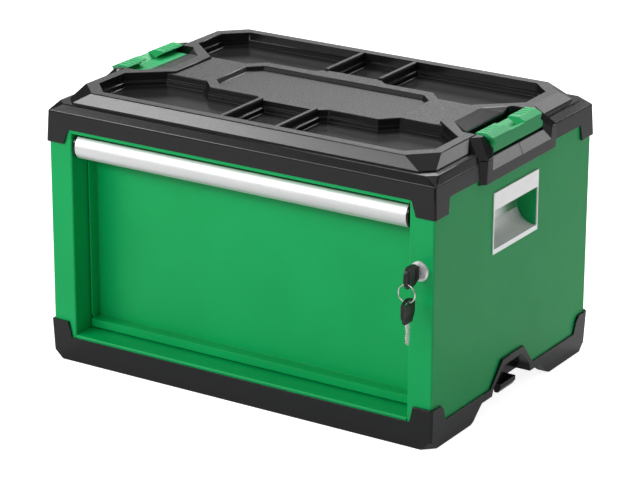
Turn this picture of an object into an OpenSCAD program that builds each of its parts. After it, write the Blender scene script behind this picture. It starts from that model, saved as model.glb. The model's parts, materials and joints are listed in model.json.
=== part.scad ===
// Stackable steel tool box with one deep full-width drawer, a moulded top cover
// with trays and two tilting latches, a moulded base and a key lock.
// Millimetres. X runs along the front, the drawer opens towards -Y, Z is up.
// The origin is the middle of the footprint on the floor.

/* [Cabinet] */
// Width of the steel cabinet over its side panels
body_width = 560; // [520:5:620]
// Depth of the steel cabinet from front posts to back
body_depth = 394; // [370:2:440]
// Height of steel left bare between the base and the cover
body_height = 280; // [250:2:340]
// Thickness of the folded sheet
sheet = 1.2; // [0.8:0.1:1.5]
// Outside radius of a fold
fold_radius = 2.4; // [2:0.1:3]
// Width of each front post
post_width = 34; // [32:1:40]
// Depth of the turned-in side of each front post
reveal_depth = 46; // [40:1:52]
// Bare strip of the top rail seen under the cover
rail_show = 5; // [3:0.5:10]
// Bare strip of the sill seen above the base
sill_show = 4; // [3:0.5:8]
// Width of the turned-in flange at each back corner
back_flange = 20; // [14:1:30]

/* [Base] */
// Height of the base's front edge
base_height = 33; // [32:0.5:38]
// Height of the nest under the base
nest_height = 20; // [19:0.5:22]
// Thickness of the base's floor
base_floor = 3; // [2:0.5:4]
// Top of the base's corner legs
base_leg_top = 54; // [48:1:60]
// How far the base stands proud of the steel at its legs' tops
base_proud = 3.4; // [3:0.1:5]
// How far the base stands proud at its bottom
base_toe = 1.5; // [1:0.1:2.5]
// Cut across each bottom corner
foot_corner = 14.5; // [10:0.5:18]
// Height over which that cut runs out
foot_corner_rise = 10.8; // [8:0.2:14]
// Half width of the raised middle of each long side foot
foot_gap = 103; // [95:1:112]
// Height of the arch band on each side
arch_top = 62; // [58:1:66]
// Half width of the arch band at its foot
arch_foot = 55; // [50:1:58]
// Half width of the arch band at its top
arch_crown = 27; // [24:1:32]
// Width of the arch band
arch_band = 9.5; // [7:0.5:11]

/* [Top cover] */
// Height of the cover's skirt
skirt_height = 20.5; // [18:0.5:24]
// How far the corner legs hang below the skirt
cover_leg = 20; // [14:1:26]
// How far the legs' ends stand proud of the steel
cover_proud = 3.3; // [3:0.1:5]
// How far the skirt's top edge stands proud
cover_edge = 0.9; // [0.6:0.1:2]
// Height of the sloped shoulder above the skirt
shoulder_rise = 9.5; // [7:0.5:12]
// How far the shoulder leans in
shoulder_lean = 5.5; // [4:0.5:8]
// Height of the raised pad above its ledge
pad_height = 15.8; // [15:0.2:17]
// Half width kept between the pad's foot and the steel's side
ledge_side = 14.3; // [12:0.5:16]
// The same at front and back
ledge_front = 11.8; // [10:0.5:14]
// How far the pad's sides lean in
pad_lean = 7.2; // [5:0.2:9]
// Width of the pad's raised rim
rim_width = 13.5; // [10:0.5:16]
// Depth of the plateau below the rim
plateau_drop = 3.1; // [2:0.1:5]
// Depth of the step in each tray's wall below the rim
tray_step = 11.3; // [9:0.1:13]
// Depth of the trays' floors below the rim
tray_depth = 17.8; // [16:0.1:19]
// Depth of the middle panel below the plateau
panel_drop = 6; // [3:0.5:7]
// Half distance between the two cross ribs
rib_place = 40; // [34:1:46]
// Width of a cross rib
rib_width = 6; // [4:0.5:8]
// How far the latch housings stand out from the steel
housing_out = 8.2; // [7:0.2:10]
// Half length of a latch housing
housing_half = 94.5; // [90:0.5:100]
// Distance from the cabinet's side in to each latch well's inner edge
well_reach = 69.5; // [67:0.5:71]
// Cut across each inner corner of a latch well
well_corner = 30; // [26:0.5:32]
// Length of the ramp that leads down to each latch
ramp_length = 25.8; // [22:0.2:27]
// Drop of that ramp
ramp_drop = 4.2; // [2:0.2:6]

/* [Latches] */
// Half length of a latch
latch_half = 62; // [56:1:64]
// Gap between a latch and its housing
latch_gap = 1; // [0.8:0.1:1.5]
// Radius of the rolled foot a latch turns on
latch_barrel = 6; // [5.5:0.1:6.4]
// Radius of the pivot pin
pin_radius = 2; // [1.5:0.1:2.5]
// Clearance around the pin in the latch
pin_clearance = 0.05; // [0.02:0.01:0.1]
// Half width of the dip between the two grips of a latch
latch_dip = 18; // [16:1:24]

/* [Drawer] */
// Gap between the drawer front and the posts
drawer_gap = 1.6; // [1:0.1:2.5]
// How far the drawer front's rim sits behind the posts
lip_recess = 31; // [28:0.5:34]
// How far the front panel sits behind its rim
panel_recess = 18; // [12:0.5:20]
// Height of the ledge along the bottom of the drawer front
lip_height = 11; // [8:0.5:16]
// Thickness of the drawer's sheet
drawer_sheet = 1.2; // [0.8:0.1:1.4]
// Depth of the drawer box behind its front
drawer_length = 330; // [320:2:350]
// Height of the drawer box's walls
drawer_wall = 206; // [180:2:214]
// Height of the pull
pull_height = 28; // [24:0.5:32]
// Gap above the pull
pull_drop = 5; // [3:0.5:8]
// Radius of the pull's rounded front
pull_radius = 17.5; // [17:0.5:20]
// Wall thickness of the pull
pull_wall = 1.8; // [1.4:0.1:2.4]
// Thickness of a pull end cap
cap_thickness = 3; // [2:0.5:4]

/* [Slides] */
// Height of the slides above the floor
slide_level = 110; // [95:1:130]
// Height of the outer rail
slide_height = 45.4; // [40:0.2:46]
// Width taken by a slide between cabinet and drawer
slide_width = 12.6; // [12:0.1:13]
// Thickness of a rail's wall
rail_wall = 1.4; // [1:0.1:1.5]
// Clearance between two rails
rail_clearance = 0.15; // [0.1:0.05:0.25]
// Length of a rail
rail_length = 330; // [300:2:332]

/* [Side grips] */
// Half length of a side grip
grip_half = 56.5; // [50:0.5:62]
// Distance from the cover's edge down to the grip's top
grip_drop = 26.5; // [24:0.5:60]
// Radius of the scoop behind the grip
scoop_radius = 26; // [24:0.5:27]
// Height of the grip's opening
grip_opening = 50; // [46:0.5:54]
// Height of the band fingers pull on
grip_band = 22.5; // [18:0.5:26]
// Thickness of the grip's aluminium
grip_wall = 1.6; // [1.2:0.1:2]

/* [Lock and keys] */
// Distance of the lock's axis from the cabinet's side
lock_inset = 18.5; // [17.5:0.1:19.5]
// Height of the lock's axis
lock_level = 227; // [180:1:240]
// Radius of the lock's bezel
bezel_radius = 12.4; // [11.5:0.1:13]
// Radius of the lock's barrel
barrel_radius = 9.4; // [8.5:0.1:9.8]
// Radius of the turning plug
plug_radius = 6; // [5:0.1:7]
// Clearance around the plug
plug_clearance = 0.05; // [0.02:0.01:0.1]
// Reach of the locking cam from the lock's axis
cam_reach = 24; // [22:0.5:26]
// Length of a key's moulded head
bow_length = 31; // [28:0.5:36]
// Width of a key's moulded head
bow_width = 27; // [22:0.5:30]
// Thickness of a key's moulded head
bow_thickness = 4; // [3.2:0.2:5]
// Length of a key's blade beyond its head
blade_length = 28; // [24:1:32]
// Width of a key's blade
blade_width = 7.6; // [6:0.2:8]
// Radius of the key ring to the middle of its wire
ring_radius = 11.2; // [10:0.2:14]
// Radius of the ring's wire
ring_wire = 0.9; // [0.7:0.05:1.2]

/* [Hidden] */
$fn = 48;
e = 0.01;
hw = body_width / 2;
hd = body_depth / 2;
z_pan = nest_height + base_floor;
z_sill = base_height + sill_show;
z_skirt = base_height + body_height;
z_rail = z_skirt - rail_show;
z_edge = z_skirt + skirt_height;
z_head = z_edge - 1.5;
z_ledge = z_edge + shoulder_rise;
z_rim = z_ledge + pad_height;
z_plateau = z_rim - plateau_drop;
z_step = z_rim - tray_step;
z_tray = z_rim - tray_depth;
z_panel = z_plateau - panel_drop;
z_notch = z_rim - 22.8;
hollow_corner = 0.55 * fold_radius;
housing_corner = 7.6;
far = body_width + body_depth;

open_x = hw - post_width;
front_x = open_x - drawer_gap;
y_front = -hd;
y_lip = y_front + lip_recess;
y_face = y_lip + panel_recess;
y_box = y_face + drawer_sheet;
y_tail = y_box + drawer_length;
z_low = z_sill + 2.5;
z_high = z_rail - 3.5;
z_ledge_top = z_low + lip_height;
slide_x = open_x - slide_width;
z_box = z_low + 4.5;

rim_x = hw - ledge_side - pad_lean;
rim_y = hd - ledge_front - pad_lean;
in_x = rim_x - rim_width;
in_y = rim_y - rim_width;
well_half = latch_half + latch_gap;
ramp_x = hw - well_reach + ramp_length;

latch_z = z_notch + latch_barrel + 0.5;
latch_x = hw - 4;
spring_radius = pin_radius + 1.2;
spring_half = 4;
spring_turns = 5;
pull_top = z_rail - pull_drop;
pull_low = pull_top - pull_height;
pull_mid = (pull_top + pull_low) / 2;
pull_axis = y_front + pull_radius;
pull_edge = pull_axis - sqrt(pull_radius * pull_radius - pull_height * pull_height / 4);
pull_x = front_x - 0.4;
pull_screw_x = [-0.65, 0, 0.65] * pull_x;
pull_screw_z = pull_top - 10;

lock_x = hw - lock_inset;
lock_depth = lip_recess - 5;
key_y = y_front - 5;
slot_half = 9;
ring_play = 0.35;
slot_y = key_y - bow_length + 6;
ring_z = lock_level - slot_half + ring_wire + ring_play - ring_radius;
spare_top = ring_z - ring_radius + ring_wire + ring_play;
spare_y = slot_y + 3;

grip_lip = 6.5;
grip_high = z_skirt - grip_drop;
grip_low = grip_high - grip_band - grip_opening - grip_lip;
scoop_half = grip_half - 3.2;
window_low = grip_low + 6.2 - grip_wall;
window_high = grip_high - 3.2 + grip_wall;

steel_green = [0.08, 0.58, 0.32];
moulded_black = [0.12, 0.12, 0.125];
bright_metal = [0.82, 0.83, 0.84];
zinc = [0.62, 0.63, 0.64];
latch_green = [0.12, 0.66, 0.38];

// ---------- helpers ----------

// A box between two corners
module block(a, b) {
    translate(a) cube([b[0] - a[0], b[1] - a[1], b[2] - a[2]]);
}

// A quarter fold about an upright line, starting at the given angle
module fold(x, y, z0, z1, start) {
    translate([x, y, z0])
        rotate([0, 0, start])
            rotate_extrude(angle = 90)
                translate([fold_radius - sheet, 0])
                    square([sheet, z1 - z0]);
}

// A profile drawn in X and Z, carried along Y
module along_y(y0, y1) {
    translate([0, y1, 0])
        rotate([90, 0, 0])
            linear_extrude(height = y1 - y0)
                children();
}

// A profile drawn in Y and Z, carried along X
module along_x(x0, x1) {
    translate([x0, 0, 0])
        rotate([90, 0, 90])
            linear_extrude(height = x1 - x0)
                children();
}

// A four-sided block with cut corners whose size changes evenly from z0 to z1
module taper(z0, z1, x0, y0, c0, x1, y1, c1) {
    s0 = (x0 + y0 - c0) / sqrt(2);
    s1 = (x1 + y1 - c1) / sqrt(2);
    intersection() {
        along_y(-far, far)
            polygon([[-x0, z0], [x0, z0], [x1, z1], [-x1, z1]]);
        along_x(-far, far)
            polygon([[-y0, z0], [y0, z0], [y1, z1], [-y1, z1]]);
        rotate([0, 0, 45])
            along_x(-far, far)
                polygon([[-s0, z0], [s0, z0], [s1, z1], [-s1, z1]]);
        rotate([0, 0, -45])
            along_x(-far, far)
                polygon([[-s0, z0], [s0, z0], [s1, z1], [-s1, z1]]);
    }
}

// A round bar between two Y positions
module bar_y(x, z, r, y0, y1) {
    translate([x, y1, z]) rotate([90, 0, 0]) cylinder(r = r, h = y1 - y0);
}

// A round bar between two X positions
module bar_x(y, z, r, x0, x1) {
    translate([x0, y, z]) rotate([0, 90, 0]) cylinder(r = r, h = x1 - x0);
}

// The four places along a rail where a screw holds it
module rail_screw_places() {
    for (i = [0:3])
        translate([0, y_box + 26 + i * (rail_length - 52) / 3, slide_level])
            children();
}

// The same thing on both sides of the box
module both_sides() {
    children();
    mirror([1, 0, 0]) children();
}

// ---------- cabinet sheets ----------

// Opening in a side panel that the grip's scoop passes through
module grip_window() {
    block([hw - 2 * sheet, 1.8 - grip_half, window_low],
          [hw + 1, grip_half - 1.8, window_high]);
}

// Outline of the arch band above the base's edge
module arch_shape() {
    polygon([[-arch_foot, base_height - 3], [-arch_foot, base_height - 2],
             [-arch_crown, arch_top], [arch_crown, arch_top],
             [arch_foot, base_height - 2], [arch_foot, base_height - 3]]);
}

// The arch's outline grown by a margin and carried down, flaring a little
module arch_open(grow, low) {
    wide = arch_foot + grow + (base_height - 2 - low) * 0.32;
    polygon([[-wide, low],
             [-arch_foot - grow, base_height - 2],
             [-arch_crown - grow / 2, arch_top + grow],
             [arch_crown + grow / 2, arch_top + grow],
             [arch_foot + grow, base_height - 2],
             [wide, low]]);
}

rivet_low = base_leg_top + 8;
rivet_high = z_skirt - cover_leg - 9;
rivet_levels = [for (i = [0:4]) rivet_low + i * (rivet_high - rivet_low) / 4];

module side_panel() {
    color(steel_green)
    difference() {
        union() {
            block([hw - sheet, fold_radius - hd, z_pan],
                  [hw, hd - fold_radius, z_head]);
            fold(hw - fold_radius, fold_radius - hd, z_pan, z_head, 270);
            block([open_x + fold_radius, -hd, z_pan],
                  [hw - fold_radius, sheet - hd, z_head]);
            fold(open_x + fold_radius, fold_radius - hd, z_pan, z_head, 180);
            block([open_x, fold_radius - hd, z_pan],
                  [open_x + sheet, reveal_depth - hd, z_head]);
            fold(hw - fold_radius, hd - fold_radius, z_pan, z_head, 0);
            block([hw - back_flange, hd - sheet, z_pan],
                  [hw - fold_radius, hd, z_head]);
        }
        grip_window();
        along_x(hw - 5, hw + 5) arch_open(-5, z_pan - 1);
        for (level = rivet_levels)
            bar_y(hw - 12, level, 2, hd - 5, hd + 1);
    }
}

module lock_holes() {
    bar_y(lock_x, lock_level, barrel_radius + 0.1, -hd - 5, 8 - hd);
    block([open_x - 2, lock_depth - hd - 1.5, lock_level - 7],
          [open_x + 3, lock_depth - hd + 5, lock_level + cam_reach]);
}

module side_panel_left() {
    mirror([1, 0, 0]) side_panel();
}

module side_panel_right() {
    color(steel_green)
    difference() {
        side_panel();
        lock_holes();
    }
}

module back_panel() {
    color(steel_green)
    difference() {
        block([1.5 + sheet - hw, hd - 2 * sheet, z_pan],
              [hw - 1.5 - sheet, hd - sheet, z_head]);
        for (side = [-1, 1], level = rivet_levels)
            bar_y(side * (hw - 12), level, 2, hd - 5, hd + 1);
    }
}

// Half width a flat tray may have: narrow between the reveals, wide behind
module tray_plan(z0, z1) {
    block([-open_x, fold_radius - hd, z0], [open_x, reveal_depth - hd + 1, z1]);
    block([sheet - hw, reveal_depth - hd + 1, z0],
          [hw - sheet, hd - 2 * sheet, z1]);
}

base_screw_spots = [[-150, -110], [-150, 110], [0, -110], [0, 110],
                    [150, -110], [150, 110]];
cover_screw_spots = [[hw - 27, 120], [hw - 27, -120], [27 - hw, 120], [27 - hw, -120],
                     [110, hd - 24], [-110, hd - 24], [110, 24 - hd], [-110, 24 - hd]];

module floor_panel() {
    color(steel_green)
    difference() {
        union() {
            tray_plan(z_sill - sheet, z_sill);
            block([-open_x, -hd, z_pan],
                  [open_x, sheet - hd, z_sill - fold_radius]);
            translate([-open_x, fold_radius - hd, z_sill - fold_radius])
                rotate([0, 90, 0])
                    rotate([0, 0, 180])
                        rotate_extrude(angle = 90)
                            translate([fold_radius - sheet, 0])
                                square([sheet, 2 * open_x]);
            both_sides()
                block([hw - 2 * sheet, reveal_depth - hd + 1, z_pan],
                      [hw - sheet, hd - 2 * sheet, z_sill - sheet]);
        }
        both_sides()
            along_x(hw - 22, hw + 5) arch_open(-5, z_pan - 1);
        for (spot = base_screw_spots)
            translate([spot[0], spot[1], z_sill - 5]) cylinder(r = 2.1, h = 10);
    }
}

module top_panel() {
    color(steel_green)
    difference() {
        union() {
            tray_plan(z_head - sheet, z_head);
            block([-open_x, -hd, z_rail],
                  [open_x, sheet - hd, z_head]);
            block([-open_x, sheet - hd - e, z_head - sheet],
                  [open_x, fold_radius - hd + e, z_head]);
            block([-open_x, sheet - hd - e, z_rail],
                  [open_x, 14 - hd, z_rail + sheet]);
        }
        for (spot = cover_screw_spots)
            translate([spot[0], spot[1], z_head - 5]) cylinder(r = 2.1, h = 10);
    }
}

carrier_high = slide_level + slide_height / 2 + 14;
carrier_low = slide_level - slide_height / 2 - 14;

module slide_carrier() {
    y0 = reveal_depth - hd + 0.3;
    y1 = hd - 2 * sheet;
    color(steel_green) {
        difference() {
            block([open_x, y0, carrier_low], [open_x + sheet, y1, carrier_high]);
            rail_screw_places() bar_x(0, 0, 1.6, 0, far);
        }
        for (z = [carrier_low, carrier_high - sheet])
            block([open_x + sheet - e, y0, z], [hw - sheet, y1, z + sheet]);
        block([hw - 2 * sheet, y0, carrier_low - 12],
              [hw - sheet, y1, carrier_low + e]);
        block([hw - 2 * sheet, y0, carrier_high - e],
              [hw - sheet, y1, carrier_high + 12]);
    }
}

module slide_carrier_left() {
    mirror([1, 0, 0]) slide_carrier();
}

module slide_carrier_right() {
    slide_carrier();
}

module back_rivets() {
    color(zinc)
    for (side = [-1, 1], level = rivet_levels) {
        bar_y(side * (hw - 12), level, 2, hd - 2 * sheet - 1.5, hd + e);
        bar_y(side * (hw - 12), level, 3.4, hd, hd + 1);
    }
}

// ---------- moulded base ----------

// Side wall outline above the base's floor: edge, corner legs and arch band
module base_side_shape() {
    edge = base_height - 2;
    for (flip = [-1, 1])
        polygon([[flip * (hd - 32), edge - 1], [flip * (hd - 32), edge],
                 [flip * (hd - 26), edge + 16], [flip * (hd - 20), base_leg_top - 1],
                 [flip * (hd + 20), base_leg_top], [flip * (hd + 20), edge - 1]]);
    polygon([[-hd - 9, z_pan], [-hd - 9, edge], [hd + 9, edge], [hd + 9, z_pan]]);
    arch_shape();
}

// Front wall outline above the base's floor
module base_front_shape() {
    reach = hw + 20;
    polygon([[-reach, z_pan], [-reach, base_leg_top], [8 - open_x - 18, base_leg_top],
             [4 - open_x - 9, base_height], [open_x + 5, base_height],
             [open_x + 10, base_leg_top], [reach, base_leg_top], [reach, z_pan]]);
}

module base_bosses(r) {
    for (spot = base_screw_spots)
        translate([spot[0], spot[1], z_pan - 1])
            cylinder(r = r, h = z_sill - sheet - z_pan + 1);
}

module base() {
    bump = arch_crown + 5;
    color(moulded_black)
    difference() {
        union() {
            taper(0, foot_corner_rise, hw + base_toe, hd + base_toe, foot_corner,
                  hw + base_toe, hd + base_toe, 2.5);
            difference() {
                taper(foot_corner_rise - e, arch_top + 1, hw + base_toe, hd + base_toe, 2.5,
                      hw + base_proud + 0.3, hd + base_proud + 0.3, 3);
                block([-hw, -hd, z_pan], [hw, hd, arch_top + 5]);
                // Trims the front and back walls to their outline
                difference() {
                    block([-hw, -far, z_pan], [hw, far, arch_top + 5]);
                    along_y(-far, far) base_front_shape();
                }
                // Trims the side walls and the corners to theirs
                both_sides()
                    difference() {
                        block([hw, -far, z_pan], [far, far, arch_top + 5]);
                        along_x(-far, far) base_side_shape();
                    }
            }
            both_sides()
                along_x(hw - 21, hw + base_toe) arch_open(-5.5, nest_height);
            base_bosses(5);
        }
        // Nest that takes the pad of the box below
        taper(-1, nest_height, hw - 11.8, hd - 8.8, 13, hw - 18, hd - 15, 25);
        // Gap under the middle of each side
        along_x(-far, far)
            polygon([[-foot_gap, -1], [-foot_gap, 0], [-foot_gap + 8, 3],
                     [28 - foot_gap, nest_height], [foot_gap - 28, nest_height],
                     [foot_gap - 8, 3], [foot_gap, 0], [foot_gap, -1]]);
        // Recess behind each arch for the latch of the box below
        both_sides()
            along_x(hw - 18, hw + 20) arch_open(-arch_band, nest_height - 1);
        for (spot = base_screw_spots)
            translate([spot[0], spot[1], z_pan + 2]) cylinder(r = 1.75, h = 20);
        // Recessed cells that lighten the floor
        for (spot = [[-75, 0], [75, 0], [-205, 0], [205, 0]])
            block([spot[0] - 35, -60, z_pan - 1.4], [spot[0] + 35, 60, z_pan + 1]);
        both_sides()
            for (y = [-11, 11])
                translate([hw - 30, y, nest_height - 1]) cylinder(r = 1.75, h = 3.4);
    }
}

module base_catch() {
    color(moulded_black)
    difference() {
        union() {
            block([hw - 40, -19, nest_height - 4], [hw - 18 + e, 19, nest_height]);
            block([hw - 18, -19, nest_height - 4], [hw - 5, 19, nest_height + 4]);
            along_y(-19, 19)
                polygon([[hw - 13, nest_height - 3], [hw - 12, nest_height - 8],
                         [hw - 7, nest_height - 8], [hw - 3, nest_height - 2],
                         [hw - 3, nest_height + 4], [hw - 13, nest_height + 4]]);
        }
        for (y = [-11, 11])
            translate([hw - 30, y, 0]) cylinder(r = 2.1, h = 40);
    }
}

module base_catch_left() {
    mirror([1, 0, 0]) base_catch();
}

module base_catch_right() {
    base_catch();
}

module pan_screw(shank, length, head) {
    translate([0, 0, -length]) cylinder(r = shank, h = length + e);
    cylinder(r1 = head, r2 = head * 0.8, h = 1.6);
}

module catch_screws() {
    color(zinc)
    for (side = [-1, 1], y = [-11, 11])
        translate([side * (hw - 30), y, nest_height - 4])
            mirror([0, 0, 1]) pan_screw(1.75, 6.4, 3.4);
}

module base_screws() {
    color(zinc)
    for (spot = base_screw_spots)
        translate([spot[0], spot[1], z_sill]) pan_screw(1.75, 12, 3.8);
}

module cover_screws() {
    color(zinc)
    for (spot = cover_screw_spots)
        translate([spot[0], spot[1], z_head - sheet])
            mirror([0, 0, 1]) pan_screw(1.75, 10, 3.8);
}

// ---------- top cover ----------

// A polygon that is the same in all four quarters, from the points of one quarter
module four_fold(quarter) {
    last = len(quarter) - 1;
    polygon(concat(
        quarter,
        [for (i = [last:-1:0]) [-quarter[i][0], quarter[i][1]]],
        [for (p = quarter) -p],
        [for (i = [last:-1:0]) [quarter[i][0], -quarter[i][1]]]));
}

// Outline inside the pad's rim, shrunk by a margin
module inner_plan(m) {
    bay = 50;
    corner = 27;
    along = 0.45 * m;
    four_fold([[in_x - bay - m, 40 + along], [in_x - m, 84 + along],
               [in_x - m, in_y - corner], [in_x - corner, in_y - m]]);
}

// Plateau outline, grown by a margin
module plateau_plan(m) {
    four_fold([[in_x + 5, 47 + m], [143 + m / 3, 47 + m], [124 + m / 3, 67 + m],
               [53 + m / 3, 67 + m], [39 + m / 3, 77 + m]]);
}

// The six trays in plan
module tray_plans(m) {
    difference() {
        inner_plan(m);
        plateau_plan(m);
        for (side = [-1, 1])
            translate([side * rib_place - rib_width / 2 - m, -in_y])
                square([rib_width + 2 * m, 2 * in_y]);
    }
}

// Plan of the hollow a latch sits in
module housing_plan() {
    inner = hw - well_reach;
    polygon([[inner, well_corner - well_half], [inner, well_half - well_corner],
             [inner + well_corner, well_half], [hw + 1.5, well_half],
             [hw + 15, well_half + 22], [hw + 15, -well_half - 22], [hw + 1.5, -well_half],
             [inner + well_corner, -well_half]]);
}

// Shallow ramp from the rim down to a latch's pocket, with slanted corners
module latch_ramp() {
    low = z_rim - ramp_drop;
    slant = 11;
    intersection() {
        translate([hw, 0, 0])
            taper(low, z_rim + 1, well_reach, well_half, well_corner + slant,
                  well_reach, well_half, well_corner - slant / ramp_drop);
        along_y(-far, far)
            polygon([[hw - well_reach, z_rim], [ramp_x, low], [ramp_x + 2, low],
                     [ramp_x + 2, z_rim + 1], [hw - well_reach, z_rim + 1]]);
    }
}

// Skirt outline seen from the side
module skirt_side_shape() {
    low = z_skirt - cover_leg;
    polygon([[-hd - 20, low], [28 - hd, low], [32 - hd, z_skirt], [-housing_half, z_skirt],
             [-housing_half, z_skirt - 5.5], [housing_half, z_skirt - 5.5],
             [housing_half, z_skirt], [hd - 32, z_skirt], [hd - 28, low], [hd + 20, low],
             [hd + 20, z_edge + 1], [-hd - 20, z_edge + 1]]);
}

// Skirt outline seen from the front
module skirt_front_shape() {
    low = z_skirt - cover_leg;
    polygon([[-hw - 20, low], [24 - hw, low], [31 - hw, z_skirt - 0.5],
             [hw - 31, z_skirt - 0.5], [hw - 24, low], [hw + 20, low],
             [hw + 20, z_edge + 1], [-hw - 20, z_edge + 1]]);
}

module cover_rib(side) {
    top = z_rim - 0.3;
    crown = 0.4 * rib_width;
    for (flip = [-1, 1])
        mirror([0, flip > 0 ? 0 : 1, 0])
            along_y(76, in_y + 4)
                polygon([[side * rib_place - rib_width / 2, z_plateau - 1],
                         [side * rib_place - rib_width / 2, z_plateau + 0.4],
                         [side * rib_place - crown, top], [side * rib_place + crown, top],
                         [side * rib_place + rib_width / 2, z_plateau + 0.4],
                         [side * rib_place + rib_width / 2, z_plateau - 1]]);
}

module top_cover() {
    color(moulded_black)
    difference() {
        union() {
            // Skirt with its corner legs
            difference() {
                taper(z_skirt - cover_leg, z_edge, hw + cover_proud, hd + cover_proud, 2.5,
                      hw + cover_edge, hd + cover_edge, 1.2);
                taper(z_skirt - cover_leg - 1, z_head, hw, hd, hollow_corner,
                      hw, hd, hollow_corner);
                difference() {
                    block([hw - e, -far, 0], [far, far, z_edge - e]);
                    along_x(-far, far) skirt_side_shape();
                }
                difference() {
                    block([-far, -far, 0], [e - hw, far, z_edge - e]);
                    along_x(-far, far) skirt_side_shape();
                }
                difference() {
                    block([-hw, -far, 0], [hw, far, z_edge - e]);
                    along_y(-far, far) skirt_front_shape();
                }
            }
            // Shoulder
            taper(z_edge - e, z_ledge, hw + cover_edge, hd + cover_edge, 1.2,
                  hw - shoulder_lean, hd - shoulder_lean, 12);
            // Raised pad
            taper(z_ledge - e, z_ledge + 1.7, hw - ledge_side, hd - ledge_front, 15,
                  hw - ledge_side, hd - ledge_front, 15);
            taper(z_ledge + 1.7 - e, z_rim, hw - ledge_side, hd - ledge_front, 15,
                  rim_x, rim_y, 32);
            // Latch housings
            difference() {
                union() {
                    taper(z_skirt - 6, z_rim - 21.8, hw + housing_out, housing_half,
                          housing_corner, hw + housing_out, housing_half, housing_corner);
                    taper(z_rim - 21.8 - e, z_rim, hw + housing_out, housing_half,
                          housing_corner,
                          rim_x + 11, housing_half - 14, 11);
                }
                block([-hw, -hd, z_skirt - 10], [hw, hd, z_head]);
                block([20 - hw, -hd, z_skirt - 10], [hw - 20, hd, z_rim + 1]);
            }
        }
        // Drop from the rim to the plateau, then the trays in two steps
        difference() {
            translate([0, 0, z_plateau]) linear_extrude(height = 20) inner_plan(0);
            for (side = [-1, 1]) cover_rib(side);
        }
        difference() {
            translate([0, 0, z_step]) linear_extrude(height = 20) tray_plans(0);
            for (side = [-1, 1]) cover_rib(side);
        }
        translate([0, 0, z_tray]) linear_extrude(height = 10) tray_plans(3);
        // Sunk panel in the middle
        taper(z_panel, z_plateau + 1, 134.5, 48.5, 16, 136.5, 50.5, 17);
        // Hollow and sill of each latch housing
        both_sides()
            intersection() {
                translate([0, 0, z_skirt])
                    linear_extrude(height = 60) housing_plan();
                along_y(-far, far)
                    polygon([[ramp_x, z_notch], [hw + 1.5, z_notch],
                             [hw + 9.5, z_notch - 17], [hw + 20, z_notch - 17],
                             [hw + 20, z_rim + 10], [ramp_x, z_rim + 10]]);
            }
        both_sides() latch_ramp();
        both_sides()
            bar_y(latch_x, latch_z, pin_radius, -latch_half - 9, latch_half + 9);
        // Hollows underneath
        taper(z_head - 1, z_tray - 3, in_x - 54, 42, 4, in_x - 56, 40, 4);
        taper(z_tray - 3 - e, z_panel - 3, 130, 40, 8, 128, 38, 8);
        for (fx = [-1, 1], fy = [-1, 1])
            translate([fx * (in_x + 50) / 2, fy * (in_y + 64) / 2, 0])
                taper(z_head - 1, z_tray - 3, (in_x - 62) / 2, (in_y - 76) / 2, 10,
                      (in_x - 66) / 2, (in_y - 80) / 2, 10);
        for (spot = cover_screw_spots)
            translate([spot[0], spot[1], z_head - 1]) cylinder(r = 1.75, h = 11);
        // Blind hole for each spring's lower leg
        both_sides()
            translate([latch_x - spring_radius, -spring_half, z_notch - 2.6])
                cylinder(r = 0.8, h = 5);
    }
    // Small moulded pointer on each latch sill
    color(moulded_black)
    both_sides()
        along_y(1, 7)
            polygon([[hw + 1, z_notch - 1], [hw + 2.4, z_notch - 1],
                     [hw + 8.6, z_notch - 14], [hw + 8, z_notch - 16], [hw + 1, z_notch - 3]]);
}

// ---------- latches ----------

module latch_shape() {
    x = latch_x;
    z = latch_z;
    out = latch_barrel;
    polygon([[x + out, z], [x + out - 1.4, z + 14.5], [x - 5, z + 19], [x - 18, z + 18.4],
             [x - 20, z + 16.2], [x - 12, z + 11.5], [x - 7.5, z + 8], [x - 31, z + 7.6],
             [x - 32, z + 4.6], [x - 14, z + 3], [x - out - 0.5, z - 1], [x, z - 2]]);
}

module latch() {
    x = latch_x;
    z = latch_z;
    color(latch_green)
    difference() {
        union() {
            bar_y(x, z, latch_barrel, -latch_half, latch_half);
            along_y(-latch_half, latch_half) latch_shape();
        }
        // Dip between the two grips, deepest behind the outer face
        along_y(-latch_dip, latch_dip)
            polygon([[x + 20, z + 14], [x + 1.5, z + 13.4], [x - 7.5, z + 8.2],
                     [x - 40, z + 8.2], [x - 40, z + 40], [x + 20, z + 40]]);
        // Slant at each end
        for (flip = [-1, 1])
            translate([x, flip * (latch_half + 1), z + 16])
                rotate([flip * -38, 0, 0])
                    block([-40, flip > 0 ? 0 : -12, -10], [40, flip > 0 ? 12 : 0, 20]);
        bar_y(x, z, pin_radius + pin_clearance, -far, far);
        // Room for the spring
        block([x - 9, -8, z - 10], [x + 4.4, 8, z + 4.6]);
        // Grooves on the grips
        for (y = [-54, -46, -38, -30, 30, 38, 46, 54])
            block([x - 21, y - 1.2, z + 17.6], [x - 5.5, y + 1.2, z + 21]);
        // Blind slot for the spring's upper leg
        block([x - spring_radius - 0.8, spring_half - 0.8, z + 4],
              [x - spring_radius + 0.8, spring_half + 0.8, z + 8.6]);
    }
}

module latch_left() {
    mirror([1, 0, 0]) latch();
}

module latch_right() {
    latch();
}

module latch_pin_left() {
    color(zinc) bar_y(-latch_x, latch_z, pin_radius, -latch_half - 9, latch_half + 9);
}

module latch_pin_right() {
    color(zinc) bar_y(latch_x, latch_z, pin_radius, -latch_half - 9, latch_half + 9);
}

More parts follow.
